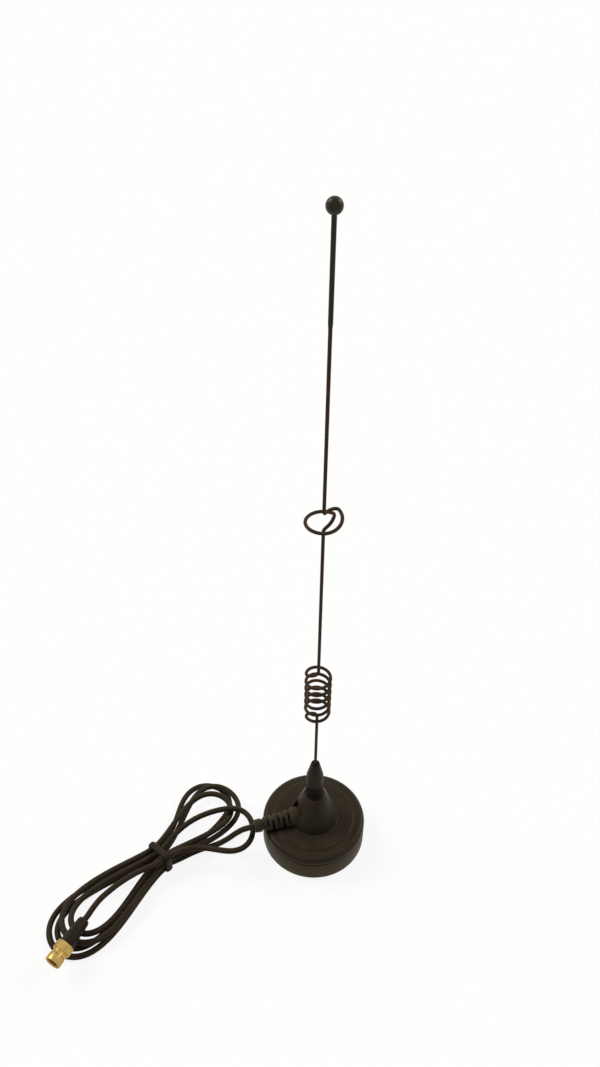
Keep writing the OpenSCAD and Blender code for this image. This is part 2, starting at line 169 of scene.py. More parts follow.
def cable_line():
    """The whole cable's centreline."""
    first, last = hank_point(0, 0), hank_point(len(LOOPS) - 1, 180)
    hank_way = Vector((-cos_deg(HANK_YAW), -sin_deg(HANK_YAW), 0)) * CABLE_D
    plug_way = plug_axis() * CABLE_D
    relief_way = Vector((CABLE_D, 0, 0))
    lead = [RELIEF_TIP] + through([RELIEF_TIP - relief_way, *LEAD, first - hank_way], FREE_STEPS)
    hank = [hank_point(k, 180 * i / LOOP_STEPS) for k in range(len(LOOPS)) for i in range(LOOP_STEPS)]
    tail = through([last + hank_way, *TAIL, PLUG_START - plug_way], FREE_STEPS) + [PLUG_START]
    return lead + hank + [last] + tail


def plug_axis():
    return heading(PLUG_TURN, -PLUG_DIP)


def round_bar(name, points, diameter, fineness):
    """A round bar or cord along the points, which are in millimetres, as a curve."""
    data = bpy.data.curves.new(name, "CURVE")
    data.dimensions = "3D"
    data.bevel_depth = diameter / 2 * MM
    data.bevel_resolution = fineness
    data.use_fill_caps = True
    spline = data.splines.new("POLY")
    spline.points.add(len(points) - 1)
    for point, q in zip(spline.points, points):
        point.co = (*(Vector(q) * MM), 1)
    spline.use_smooth = True
    obj = bpy.data.objects.new(name, data)
    bpy.context.scene.collection.objects.link(obj)
    return obj


# Shared effects of the finishes


def effect(name, inputs, outputs):
    """An empty shader group with its sockets, and its input and output nodes."""
    group = bpy.data.node_groups.new(name, "ShaderNodeTree")
    for label, kind in inputs:
        group.interface.new_socket(label, in_out="INPUT", socket_type=kind)
    for label, kind in outputs:
        group.interface.new_socket(label, in_out="OUTPUT", socket_type=kind)
    return group, group.nodes.new("NodeGroupInput"), group.nodes.new("NodeGroupOutput")


def surface_grain():
    """Soft mottling and fine grain that sit still on the piece."""
    group, given, out = effect(
        "surface_grain",
        [("Patch Scale", "NodeSocketFloat"), ("Grain Scale", "NodeSocketFloat")],
        [("Patch", "NodeSocketFloat"), ("Grain", "NodeSocketFloat")],
    )
    place = group.nodes.new("ShaderNodeTexCoord")
    for label, scale, detail in (("Patch", "Patch Scale", 4), ("Grain", "Grain Scale", 2)):
        noise = group.nodes.new("ShaderNodeTexNoise")
        noise.inputs["Detail"].default_value = detail
        spread = group.nodes.new("ShaderNodeMapRange")
        spread.inputs["From Min"].default_value = 0.3
        spread.inputs["From Max"].default_value = 0.7
        group.links.new(place.outputs["Object"], noise.inputs["Vector"])
        group.links.new(given.outputs[scale], noise.inputs["Scale"])
        group.links.new(noise.outputs["Fac"], spread.inputs["Value"])
        group.links.new(spread.outputs["Result"], out.inputs[label])
    return group


def settled_dust():
    """Dust and fine lint on the faces that look up, in broken patches."""
    group, given, out = effect(
        "settled_dust",
        [("Color", "NodeSocketColor"), ("Dust", "NodeSocketColor"), ("Amount", "NodeSocketFloat")],
        [("Color", "NodeSocketColor")],
    )
    place = group.nodes.new("ShaderNodeTexCoord")
    noise = group.nodes.new("ShaderNodeTexNoise")
    noise.inputs["Scale"].default_value = 420
    noise.inputs["Detail"].default_value = 5
    broken = group.nodes.new("ShaderNodeMapRange")
    broken.inputs["From Min"].default_value = 0.45
    broken.inputs["From Max"].default_value = 0.75
    facing = group.nodes.new("ShaderNodeSeparateXYZ")
    normal = group.nodes.new("ShaderNodeNewGeometry")
    up = group.nodes.new("ShaderNodeMapRange")
    up.inputs["From Min"].default_value = 0.1
    both = group.nodes.new("ShaderNodeMath")
    both.operation = "MULTIPLY"
    some = group.nodes.new("ShaderNodeMath")
    some.operation = "MULTIPLY"
    mix = group.nodes.new("ShaderNodeMix")
    mix.data_type = "RGBA"
    link = group.links.new
    link(place.outputs["Object"], noise.inputs["Vector"])
    link(noise.outputs["Fac"], broken.inputs["Value"])
    link(normal.outputs["Normal"], facing.inputs["Vector"])
    link(facing.outputs["Z"], up.inputs["Value"])
    link(up.outputs["Result"], both.inputs[0])
    link(broken.outputs["Result"], both.inputs[1])
    link(both.outputs["Value"], some.inputs[0])
    link(given.outputs["Amount"], some.inputs[1])
    link(some.outputs["Value"], mix.inputs["Factor"])
    link(given.outputs["Color"], mix.inputs["A"])
    link(given.outputs["Dust"], mix.inputs["B"])
    link(mix.outputs["Result"], out.inputs["Color"])
    return group


def turning_marks():
    """Fine rings left by the lathe, across a piece's own Z axis."""
    group, given, out = effect(
        "turning_marks",
        [("Vector", "NodeSocketVector"), ("Scale", "NodeSocketFloat")],
        [("Height", "NodeSocketFloat"), ("Streak", "NodeSocketFloat")],
    )
    rings = group.nodes.new("ShaderNodeTexWave")
    rings.bands_direction = "Z"
    rings.inputs["Distortion"].default_value = 1.5
    rings.inputs["Detail"].default_value = 3
    stretch = group.nodes.new("ShaderNodeMapping")
    stretch.inputs["Scale"].default_value = (0.15, 0.15, 1)
    noise = group.nodes.new("ShaderNodeTexNoise")
    noise.inputs["Detail"].default_value = 3
    link = group.links.new
    link(given.outputs["Vector"], rings.inputs["Vector"])
    link(given.outputs["Scale"], rings.inputs["Scale"])
    link(rings.outputs["Fac"], out.inputs["Height"])
    link(given.outputs["Vector"], stretch.inputs["Vector"])
    link(stretch.outputs["Vector"], noise.inputs["Vector"])
    link(given.outputs["Scale"], noise.inputs["Scale"])
    link(noise.outputs["Fac"], out.inputs["Streak"])
    return group


GRAIN, DUST, MARKS = surface_grain(), settled_dust(), turning_marks()
DUST_COLOUR, WARM_TINT = (0.16, 0.145, 0.12, 1), (1, 0.85, 0.64, 1)
RINGS_PER_METRE = 2200


def group_node(tree, group, **values):
    node = tree.nodes.new("ShaderNodeGroup")
    node.node_tree = group
    for label, value in values.items():
        node.inputs[label.replace("_", " ")].default_value = value
    return node


def between_values(tree, source, low, high):
    """A value that runs from low to high as the source runs from 0 to 1."""
    node = tree.nodes.new("ShaderNodeMapRange")
    node.inputs["To Min"].default_value = low
    node.inputs["To Max"].default_value = high
    tree.links.new(source, node.inputs["Value"])
    return node.outputs["Result"]


def between_colours(tree, source, first, second):
    node = tree.nodes.new("ShaderNodeMix")
    node.data_type = "RGBA"
    node.inputs["A"].default_value = (*first, 1)
    node.inputs["B"].default_value = (*second, 1)
    tree.links.new(source, node.inputs["Factor"])
    return node.outputs["Result"]


def bare_material(name, metallic, specular):
    material = bpy.data.materials.new(name)
    material.use_nodes = True
    shader = material.node_tree.nodes["Principled BSDF"]
    shader.inputs["Metallic"].default_value = metallic
    shader.inputs["Specular IOR Level"].default_value = specular
    shader.inputs["Specular Tint"].default_value = WARM_TINT
    return material, material.node_tree, shader


def bump_from(tree, shader, height, strength, depth_mm):
    bump = tree.nodes.new("ShaderNodeBump")
    bump.inputs["Strength"].default_value = strength
    bump.inputs["Distance"].default_value = depth_mm * MM
    tree.links.new(height, bump.inputs["Height"])
    tree.links.new(bump.outputs["Normal"], shader.inputs["Normal"])


def moulded(name, dark, light, rough, patch, grain, depth, dust, specular=0.14, metallic=0.0):
    """Plastic, rubber, paint or plating: two close tones in patches, a fine grain and a little dust."""
    material, tree, shader = bare_material(name, metallic, specular)
    skin = group_node(tree, GRAIN, Patch_Scale=patch, Grain_Scale=grain)
    tone = between_colours(tree, skin.outputs["Patch"], dark, light)
    dusty = group_node(tree, DUST, Dust=DUST_COLOUR, Amount=dust)
    tree.links.new(tone, dusty.inputs["Color"])
    tree.links.new(dusty.outputs["Color"], shader.inputs["Base Color"])
    tree.links.new(between_values(tree, skin.outputs["Patch"], *rough), shader.inputs["Roughness"])
    bump_from(tree, shader, skin.outputs["Grain"], 0.35, depth)
    return material


def turned_metal(name, deep, bright, rough, axis_place, depth):
    """Turned metal with rings across its axis; axis_place takes object coordinates to the piece's own."""
    material, tree, shader = bare_material(name, 1.0, 0.5)
    place = tree.nodes.new("ShaderNodeTexCoord")
    mapping = tree.nodes.new("ShaderNodeMapping")
    mapping.vector_type = "TEXTURE"
    mapping.inputs["Location"].default_value = axis_place.to_translation()
    mapping.inputs["Rotation"].default_value = axis_place.to_euler()
    rings = group_node(tree, MARKS, Scale=RINGS_PER_METRE)
    tree.links.new(place.outputs["Object"], mapping.inputs["Vector"])
    tree.links.new(mapping.outputs["Vector"], rings.inputs["Vector"])
    tree.links.new(between_colours(tree, rings.outputs["Streak"], deep, bright), shader.inputs["Base Color"])
    tree.links.new(between_values(tree, rings.outputs["Streak"], *rough), shader.inputs["Roughness"])
    bump_from(tree, shader, rings.outputs["Height"], 0.25, depth)
    return material


ON_PLUG = (
    Matrix.Translation(PLUG_START * MM)
    @ Matrix.Rotation(math.radians(PLUG_TURN), 4, "Z")
    @ Matrix.Rotation(math.radians(90 + PLUG_DIP), 4, "Y")
)
ON_RELIEF = Matrix.Translation((0, 0, RELIEF_TIP.z * MM)) @ Matrix.Rotation(math.radians(-90), 4, "Y")
UPRIGHT = Matrix.Identity(4)

base_plastic = moulded(
    "grained_black_plastic",
    dark=(0.027, 0.0202, 0.0128),
    light=(0.034, 0.0257, 0.0165),
    rough=(0.3, 0.4),
    patch=70,
    grain=2600,
    depth=0.03,
    dust=0.05,
    specular=0.1,
)
# A lighter copy of the base plastic for the housing's side wall: painted light from the white floor below it
painted_floor_light_plastic = moulded(
    "side_plastic_with_painted_floor_light",
    dark=(0.066, 0.05, 0.0245),
    light=(0.08, 0.061, 0.03),
    rough=(0.4, 0.5),
    patch=70,
    grain=2600,
    depth=0.03,
    dust=0.03,
    specular=0.05,
)
black_rubber = moulded(
    "matt_black_rubber",
    dark=(0.048, 0.0388, 0.0242),
    light=(0.063, 0.051, 0.0318),
    rough=(0.4, 0.54),
    patch=160,
    grain=3200,
    depth=0.02,
    dust=0.06,
    specular=0.08,
)
black_metal = moulded(
    "satin_black_paint",
    dark=(0.034, 0.0265, 0.0185),
    light=(0.042, 0.033, 0.0232),
    rough=(0.36, 0.48),
    patch=120,
    grain=3400,
    depth=0.012,
    dust=0.04,
    specular=0.07,
)
# A darker black: painted shade on the ferrule's band and on the seal under it, and the darker tone of the
# ferrule's nose tip
deep_black_and_painted_shade = moulded(
    "deep_black_and_painted_shade",
    dark=(0.0115, 0.0086, 0.007),
    light=(0.0155, 0.0117, 0.0096),
    rough=(0.34, 0.44),
    patch=120,
    grain=3400,
    depth=0.012,
    dust=0.02,
    specular=0.06,
)
black_wire = moulded(
    "black_wire_coat",
    dark=(0.058, 0.0365, 0.0215),
    light=(0.076, 0.048, 0.029),
    rough=(0.4, 0.52),
    patch=240,
    grain=5200,
    depth=0.012,
    dust=0.02,
    specular=0.04,
)
gloss_black = moulded(
    "glossy_black_tip",
    dark=(0.019, 0.0155, 0.0113),
    light=(0.026, 0.0212, 0.0156),
    rough=(0.3, 0.38),
    patch=200,
    grain=3000,
    depth=0.006,
    dust=0.03,
    specular=0.2,
)
cable_jacket = moulded(
    "cable_jacket",
    dark=(0.038, 0.0285, 0.0182),
    light=(0.052, 0.0392, 0.0252),
    rough=(0.42, 0.56),
    patch=110,
    grain=4200,
    depth=0.015,
    dust=0.05,
    specular=0.04,
)
black_vinyl = moulded(
    "soft_black_vinyl",
    dark=(0.02, 0.0155, 0.0102),
    light=(0.027, 0.021, 0.014),
    rough=(0.36, 0.5),
    patch=240,
    grain=3600,
    depth=0.012,
    dust=0.05,
    specular=0.07,
)
ferrite = moulded(
    "sintered_ferrite",
    dark=(0.03, 0.03, 0.033),
    light=(0.055, 0.055, 0.06),
    rough=(0.6, 0.75),
    patch=300,
    grain=3800,
    depth=0.03,
    dust=0.1,
)
white_insulator = moulded(
    "white_insulator",
    dark=(0.74, 0.73, 0.69),
    light=(0.82, 0.81, 0.78),
    rough=(0.4, 0.5),
    patch=300,
    grain=3000,
    depth=0.006,
    dust=0.0,
)
red_rubber = moulded(
    "silicone_gasket",
    dark=(0.32, 0.05, 0.03),
    light=(0.42, 0.075, 0.045),
    rough=(0.45, 0.6),
    patch=400,
    grain=3000,
    depth=0.01,
    dust=0.0,
)
plated_steel = moulded(
    "zinc_plate",
    dark=(0.5, 0.5, 0.51),
    light=(0.64, 0.64, 0.66),
    rough=(0.28, 0.42),
    patch=180,
    grain=2400,
    depth=0.012,
    dust=0.0,
    specular=0.5,
    metallic=1.0,
)
copper = moulded(
    "tinned_copper",
    dark=(0.5, 0.3, 0.2),
    light=(0.66, 0.47, 0.36),
    rough=(0.3, 0.45),
    patch=500,
    grain=4200,
    depth=0.03,
    dust=0.0,
    specular=0.5,
    metallic=1.0,
)
brass = turned_metal(
    "turned_brass",
    deep=(0.6, 0.4, 0.13),
    bright=(0.74, 0.52, 0.2),
    rough=(0.2, 0.34),
    axis_place=UPRIGHT,
    depth=0.008,
)
gold = turned_metal(
    "gold_plate",
    deep=(0.28, 0.175, 0.044),
    bright=(0.64, 0.45, 0.15),
    rough=(0.16, 0.28),
    axis_place=ON_PLUG,
    depth=0.008,
)

FINISHES = {
    "base_plastic": base_plastic,
    "black_rubber": black_rubber,
    "plated_steel": plated_steel,
    "ferrite": ferrite,
    "brass": brass,
    "white_insulator": white_insulator,
    "copper": copper,
    "black_metal": black_metal,
    "black_wire": black_wire,
    "gloss_black": gloss_black,
    "cable_jacket": cable_jacket,
    "tie_plastic": black_vinyl,
    "gold": gold,
    "red_rubber": red_rubber,
}


# The workbench: how a piece is picked up, turned, cut, softened and put in place


WELD = 1e-6


def let_go():
    """Object mode, with nothing picked."""
    if bpy.context.object and bpy.context.object.mode != "OBJECT":
        bpy.ops.object.mode_set(mode="OBJECT")
    bpy.ops.object.select_all(action="DESELECT")


def take(obj):
    let_go()
    obj.select_set(True)
    bpy.context.view_layer.objects.active = obj
    return obj


def turned(name, rings, sides=96, hollow=False):
    """A turned piece: a circle is drawn out and sized from ring to ring.

    Each ring is (radius, height) in millimetres. A hollow piece's last ring meets its first, and any other
    piece has flat ends.
    """
    let_go()
    radius, height = rings[0]
    bpy.ops.mesh.primitive_circle_add(vertices=sides, radius=radius * MM, location=(0, 0, height * MM))
    obj = bpy.context.object
    obj.name = name
    bpy.ops.object.transform_apply(location=True, rotation=True, scale=True)
    bpy.ops.object.mode_set(mode="EDIT")
    bpy.ops.mesh.select_all(action="SELECT")
    for wide, high in rings[1:] + (rings[:1] if hollow else []):
        bpy.ops.mesh.extrude_region_move(TRANSFORM_OT_translate={"value": (0, 0, (high - height) * MM)})
        grow = wide / radius
        bpy.ops.transform.resize(value=(grow, grow, 1), center_override=(0, 0, high * MM))
        radius, height = wide, high
    bpy.ops.mesh.select_all(action="SELECT")
    if hollow:
        bpy.ops.mesh.remove_doubles(threshold=WELD)
    else:
        bpy.ops.mesh.fill_holes(sides=0)
    bpy.ops.mesh.normals_make_consistent(inside=False)
    bpy.ops.object.mode_set(mode="OBJECT")
    return obj


def rounded(corners, loop=False, steps=4):
    """A profile whose corners, each (radius, height, rounding), are drawn as arcs."""
    line = []
    for i, (r, z, size) in enumerate(corners):
        here = Vector((r, z))
        if size == 0 or (not loop and i in (0, len(corners) - 1)):
            line.append((r, z))
            continue
        back = (Vector(corners[i - 1][:2]) - here).normalized()
        ahead = (Vector(corners[(i + 1) % len(corners)][:2]) - here).normalized()
        half = back.angle(ahead) / 2
        middle = here + (back + ahead).normalized() * size / math.sin(half)
        start = here + back * size / math.tan(half) - middle
        stop = here + ahead * size / math.tan(half) - middle
        first = math.atan2(start.y, start.x)
        sweep = (math.atan2(stop.y, stop.x) - first + math.pi) % (2 * math.pi) - math.pi
        for k in range(steps + 1):
            a = first + sweep * k / steps
            line.append((middle.x + size * math.cos(a), middle.y + size * math.sin(a)))
    return line


def put(obj, place):
    """Moves a piece to its place, and keeps the place in its mesh."""
    take(obj)
    obj.matrix_world = place
    bpy.ops.object.transform_apply(location=True, rotation=True, scale=True)
    return obj


def with_tool(obj, tool, how="DIFFERENCE"):
    """Cuts with the tool, joins it on or keeps what both share; the tool is used up."""
    take(obj)
    work = obj.modifiers.new("work", "BOOLEAN")
    work.object = tool
    work.operation = how
    work.solver = "EXACT"
    bpy.ops.object.modifier_apply(modifier=work.name)
    bpy.data.objects.remove(tool, do_unlink=True)
    return obj


def soften(obj, width, segments=2, angle=40):
    """Rounds the piece's sharp edges by a small width in millimetres."""
    take(obj)
    edge = obj.modifiers.new("soften", "BEVEL")
    edge.width = width * MM
    edge.segments = segments
    edge.limit_method = "ANGLE"
    edge.angle_limit = math.radians(angle)
    bpy.ops.object.modifier_apply(modifier=edge.name)
    return obj


def as_mesh(curve):
    take(curve)
    bpy.ops.object.convert(target="MESH")
    return bpy.context.object


def block(size, middle):
    """A box of so many millimetres, as a tool or a start."""
    let_go()
    bpy.ops.mesh.primitive_cube_add(size=1, location=[m * MM for m in middle])
    obj = bpy.context.object
    obj.scale = [s * MM for s in size]
    bpy.ops.object.transform_apply(location=True, rotation=True, scale=True)
    return obj


def joined(pieces):
    """Several pieces made one object."""
    take(pieces[0])
    for obj in pieces[1:]:
        obj.select_set(True)
    bpy.ops.object.join()
    return bpy.context.object


def done(obj, body, slot, *nodes, angle=30, finish=None):
    """Shades and finishes a piece, and sets it on its body in place of its CAD nodes."""
    take(obj)
    bpy.ops.object.shade_smooth_by_angle(angle=math.radians(angle))
    obj.data.materials.clear()
    obj.data.materials.append(finish or FINISHES[slot])
    if body:
        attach(obj, body)
    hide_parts(*nodes)
    return obj


# The base: cover with its boss, housing and rubber pad

BOSS_FOOT, BOSS_TOP, BOSS_BULGE, BOSS_STEPS = (11.7, 16.2), (5.5, 32.6), 0.1, 14
# What the cover gives up to the strain relief: a channel and a cable hole, each (radius, distance from the
# whip's axis), and a notch over the collar
CHANNEL = [(5.0, 7.2), (5.0, 11.7), (4.32, 11.8), (3.36, 27)]
CABLE_HOLE = [(4.25, 3), (4.25, 8)]
NOTCH_SIZE, NOTCH_MIDDLE = (5.3, 8.4, 14), (-10.05, 0, 24)


def boss_flank(steps):
    """The boss's bulged flank, from top to foot."""
    line = []
    for i in range(1, steps):
        f = 1 - i / steps
        r = BOSS_FOOT[0] + (BOSS_TOP[0] - BOSS_FOOT[0]) * f + BOSS_BULGE * sin_deg(180 * f)
        line.append((r, BOSS_FOOT[1] + (BOSS_TOP[1] - BOSS_FOOT[1]) * f, 0))
    return line


def base_cover():
    corners = [(3.95, 21.4, 0), (3.95, 33, 0.15), (4.8, 33, 0.5)]
    corners += boss_flank(BOSS_STEPS)
    corners += [(11.9, 15.4, 0.8), (19.3, 15.4, 0.7), (20.0, 14.7, 0.7), (25, 14.7, 2.5), (25, 11.5, 0.25)]
    corners += [(23.2, 11.5, 0), (23.2, 3.4, 0), (21.9, 3.4, 0), (21.9, 11.4, 0)]
    corners += [(6.2, 11.4, 0), (6.2, 21.4, 0)]
    cover = turned("base_cover_moulding", rounded(corners, loop=True, steps=6), 128, hollow=True)
    for rings in (CHANNEL, CABLE_HOLE):
        with_tool(cover, put(turned("cutter", rings, 64), ON_RELIEF))
    with_tool(cover, block(NOTCH_SIZE, NOTCH_MIDDLE))
    return done(cover, "base", "base_plastic", "base_cover")


def base_housing():
    corners = [(23.3, 0.4, 0), (25, 0.4, 0.5), (25, 10.9, 0.2), (23.3, 10.9, 0)]
    corners += [(23.3, 2.2, 0), (21.8, 2.2, 0), (21.8, 1.0, 0), (23.3, 1.0, 0)]
    housing = turned("base_housing_ring", rounded(corners, loop=True), 128, hollow=True)
    # The side wall is drawn in the lighter copy of the base plastic, as painted floor light
    return done(housing, "base", "base_plastic", "base_housing", finish=painted_floor_light_plastic)


def bottom_pad():
    corners = [(22.6, 0, 0), (23.2, 0, 0.25), (23.2, 1, 0.1), (22.6, 1, 0)]
    pad = turned("bottom_pad_disc", rounded(corners), 96)
    return done(pad, "base", "black_rubber", "bottom_pad")


# The strain relief: a collar and a tapered boot with crossing slots

SLOT_FIRST, SLOT_PITCH, SLOT_W, WEB = 12.4, 2.6, 1.2, 2.2
SLOT_ROWS, SLOT_DEEP, SLOT_LONG = 6, 8, 20


def strain_relief():
    corners = [(4.2, 6.3, 0), (4.2, 7.4, 0), (4.75, 7.4, 0.35), (4.75, 11.5, 0.4), (4.18, 11.5, 0.1)]
    corners += [(3, 30, 0.5), (1.4, 30, 0)]
    relief = turned("strain_relief_boot", rounded(corners), 64)
    slots = []
    for i in range(SLOT_ROWS):
        for side in (-1, 1):
            across = side * (WEB / 2 + SLOT_DEEP / 2)
            middle = [0, 0, SLOT_FIRST + i * SLOT_PITCH + SLOT_W / 2]
            size = [SLOT_LONG, SLOT_LONG, SLOT_W]
            middle[i % 2], size[i % 2] = across, SLOT_DEEP
            slots.append(soften(block(size, middle), 0.35, segments=3))
    with_tool(relief, joined(slots))
    soften(relief, 0.16, angle=45)
    put(relief, ON_RELIEF)
    return done(relief, "base", "black_rubber", "strain_relief")


# The whip: seal, ferrule, threaded stud, wire with its coil and loop, sleeve and ball


# Turns wound past each cut, not a whole number so that no cut meets a row of points, and how far a cut
# reaches for points beside it, in metres
RUN_OUT, CUT_REACH = 2.013, 1e-7


def threaded_rod(name, core, crest, pitch, low, high, steps=40):
    """A threaded rod: one tooth of the thread is wound up the axis and cut off square at both ends.

    The tooth starts RUN_OUT turns too low and stops as many too high, so that both cuts meet full thread.
    """
    tooth = [(core, 0), (crest, 0.4), (crest, 0.6), (core, 1)]
    let_go()
    bpy.ops.mesh.primitive_circle_add(vertices=len(tooth), radius=crest * MM)
    rod = bpy.context.object
    rod.name = name
    start = low - RUN_OUT * pitch
    for vertex, (r, share) in zip(rod.data.vertices, tooth):
        vertex.co = (r * MM, 0, (start + share * pitch) * MM)
    bpy.ops.object.mode_set(mode="EDIT")
    bpy.ops.mesh.select_mode(type="EDGE")
    bpy.ops.mesh.select_all(action="DESELECT")
    bpy.ops.object.mode_set(mode="OBJECT")
    for edge in rod.data.edges:
        edge.select = abs(edge.vertices[0] - edge.vertices[1]) == len(tooth) - 1
    bpy.ops.object.mode_set(mode="EDIT")
    bpy.ops.mesh.delete(type="EDGE_FACE")
    bpy.ops.object.mode_set(mode="OBJECT")
    wind = rod.modifiers.new("wind", "SCREW")
    wind.screw_offset = pitch * MM
    wind.iterations = math.ceil((high - low) / pitch + 2 * RUN_OUT)
    wind.steps = wind.render_steps = steps
    wind.use_merge_vertices = True
    wind.merge_threshold = WELD
    bpy.ops.object.modifier_apply(modifier=wind.name)
    bpy.ops.object.mode_set(mode="EDIT")
    bpy.ops.mesh.select_mode(type="VERT")
    for height, keep_above in ((low, True), (high, False)):
        bpy.ops.mesh.select_all(action="SELECT")
        bpy.ops.mesh.remove_doubles(threshold=WELD)
        bpy.ops.mesh.select_all(action="SELECT")
        bpy.ops.mesh.bisect(
            plane_co=(0, 0, height * MM),
            plane_no=(0, 0, 1),
            use_fill=True,
            clear_inner=keep_above,
            clear_outer=not keep_above,
            threshold=CUT_REACH,
        )
    bpy.ops.mesh.select_all(action="SELECT")
    bpy.ops.mesh.normals_make_consistent(inside=False)
    bpy.ops.object.mode_set(mode="OBJECT")
    return rod


def whip_seal():
    corners = [(2.6, 33, 0.1), (4.3, 33, 0.35), (4.3, 34, 0.35), (2.6, 34, 0.1)]
    seal = turned("whip_seal_washer", rounded(corners, loop=True), 64, hollow=True)
    # The seal is drawn in the darker black: painted shade under the ferrule
    return done(seal, "seal", "black_rubber", "whip_seal", finish=deep_black_and_painted_shade)


# The ferrule's band, painted darker as painted shade round its foot, and its darker nose tip, by height
BAND_LOW, BAND_HIGH, NOSE_LOW = 34, 41.55, 55.2


def whip_ferrule():
    corners = [(2.53, 38, 0), (2.53, 34, 0), (4.1, 34, 0.4), (4.1, 41.5, 0.2), (3.98, 41.6, 0.05)]
    corners += [(3.98, 47.2, 0.6), (1.92, 56, 0.62), (0.72, 56, 0), (0.72, 48, 0)]
    ferrule = turned("whip_ferrule_nose", rounded(corners), 64)
    done(ferrule, "whip", "black_metal", "whip_ferrule")
    # The second finish paints shade on the band and darkens the nose tip
    ferrule.data.materials.append(deep_black_and_painted_shade)
    for face in ferrule.data.polygons:
        height = face.center.z / MM
        if BAND_LOW < height < BAND_HIGH or height > NOSE_LOW:
            face.material_index = 1
    return ferrule


def whip_stud():
    stud = threaded_rod("whip_stud_thread", core=2.05, crest=2.5, pitch=0.8, low=25.5, high=38)
    point = turned("point", [(1.85, 25), (1.85, 25.5), (2.6, 26.2), (2.6, 39)], 48)
    with_tool(stud, point, "INTERSECT")
    return done(stud, "whip", "brass", "whip_stud")


WIRE_D, BEND_R = 1.38, 1.5
WIRE_FOOT, WIRE_HEAD = 48, 306.4
COIL_LOW, COIL_RISE, COIL_R, COIL_FROM, COIL_SWEEP = 90.1, 25.8, 5.2, 138, 2230
LOOP_LOW, LOOP_RISE, LOOP_R, LOOP_FROM, LOOP_SWEEP = 192.4, 6.2, 6.7, 10, 402
# The loop's two lifts: their shares of its rise, where the first ends and where the last begins
FIRST_LIFT, LAST_LIFT, LIFT_ENDS, LIFT_BEGINS = 0.46, 0.54, 24, 240


def ease(t):
    t = max(0, min(1, t))
    return t * t * (3 - 2 * t)


def coil_rise(a):
    return COIL_LOW + COIL_RISE * a / COIL_SWEEP


def loop_rise(a):
    """The phasing loop lifts at its first spoke, runs level and lifts again on its way back."""
    first, last = ease(a / LIFT_ENDS), ease((a - LIFT_BEGINS) / (LOOP_SWEEP - LIFT_BEGINS))
    return LOOP_LOW + LOOP_RISE * (FIRST_LIFT * first + LAST_LIFT * last)


def curl(rise_at, big, start, sweep, ramp, step):
    """The wire's line where it leaves the axis, sweeps round it and comes back to it."""
    head = [ramp / 90 * math.degrees(math.asin(BEND_R * (1 - cos_deg(e)) / big)) for e in range(0, 91, 9)]
    span = sweep - 2 * head[-1]
    count = math.ceil(span / step)
    round_it = [head[-1] + span * k / count for k in range(1, count)]
    angles = head + round_it + [sweep - a for a in reversed(head)]
    line = []
    for a in angles:
        r = big * sin_deg(90 * min(1, a / ramp, (sweep - a) / ramp))
        dip = BEND_R - math.sqrt(max(0, BEND_R**2 - (BEND_R - r) ** 2)) if r < BEND_R else 0
        rise = rise_at(a) + (-dip if a < sweep / 2 else dip)
        line.append((r * cos_deg(start + a), r * sin_deg(start + a), rise))
    return line


def whip_wire():
    line = [(0, 0, WIRE_FOOT), (0, 0, 70), (0, 0, 87.3)]
    line += curl(coil_rise, COIL_R, COIL_FROM, COIL_SWEEP, ramp=50, step=8)
    line += [(0, 0, 118.7), (0, 0, 150)]
    line += curl(loop_rise, LOOP_R, LOOP_FROM, LOOP_SWEEP, ramp=32, step=4)
    line += [(0, 0, 240), (0, 0, WIRE_HEAD)]
    wire = as_mesh(round_bar("whip_wire_wound", line, WIRE_D, 4))
    done(wire, None, "black_wire", "lower_wire", "whip_coil", "upper_wire", angle=50)
    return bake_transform(wire)


def tip_sleeve():
    corners = [(0.7, 270, 0), (0.75, 270, 0.03), (0.83, 271.4, 0.5), (0.83, 304.3, 0), (0.7, 304.3, 0)]
    sleeve = turned("tip_sleeve_tube", rounded(corners, loop=True), 32, hollow=True)
    return done(sleeve, "whip_top", "gloss_black", "tip_sleeve")


BALL_R, BALL_Z, BALL_STEPS = 2.65, WIRE_HEAD, 30
BALL_MOUTH_R, BALL_LAST = 0.95, 176


def ball_tip():
    """The ball, from its bore and the mouth for the sleeve's end round to its top."""
    rings = [(0.7, BALL_Z), (0.7, BALL_Z - 2.05), (0.9, BALL_Z - 2.05), (0.9, BALL_Z - 2.42)]
    first = math.degrees(math.asin(BALL_MOUTH_R / BALL_R))
    angles = [first + (BALL_LAST - first) * i / BALL_STEPS for i in range(BALL_STEPS + 1)]
    rings += [(BALL_R * sin_deg(a), BALL_Z - BALL_R * cos_deg(a)) for a in angles]
    tip = turned("ball_tip_bead", rings, 64)
    return done(tip, "whip_top", "gloss_black", "ball_tip", angle=40)


# The tie round the hank: one strap, crowned across its width

TIE_W, TIE_T, TIE_GAP = 3.4, 0.7, 0.2
TIE_CROWN, TIE_RINGS, TIE_CORNER_STEPS = 0.07, 8, 10


def tie_outline(margin):
    """The line round the tied strands, at a margin from their middles."""
    side, low = 1.5 * STRAND, CABLE_D / 2 + TIE_LIFT
    spots = [Vector(p) for p in ((-side, low), (side, low), (side, low + STRAND), (-side, low + 2 * STRAND))]
    line = []
    for i, spot in enumerate(spots):
        before, after = spot - spots[i - 1], spots[(i + 1) % 4] - spot
        first = math.atan2(-before.x, before.y)
        sweep = (math.atan2(-after.x, after.y) - first) % (2 * math.pi)
        for k in range(TIE_CORNER_STEPS + 1):
            a = first + sweep * k / TIE_CORNER_STEPS
            line.append(spot + margin * Vector((math.cos(a), math.sin(a))))
    return line


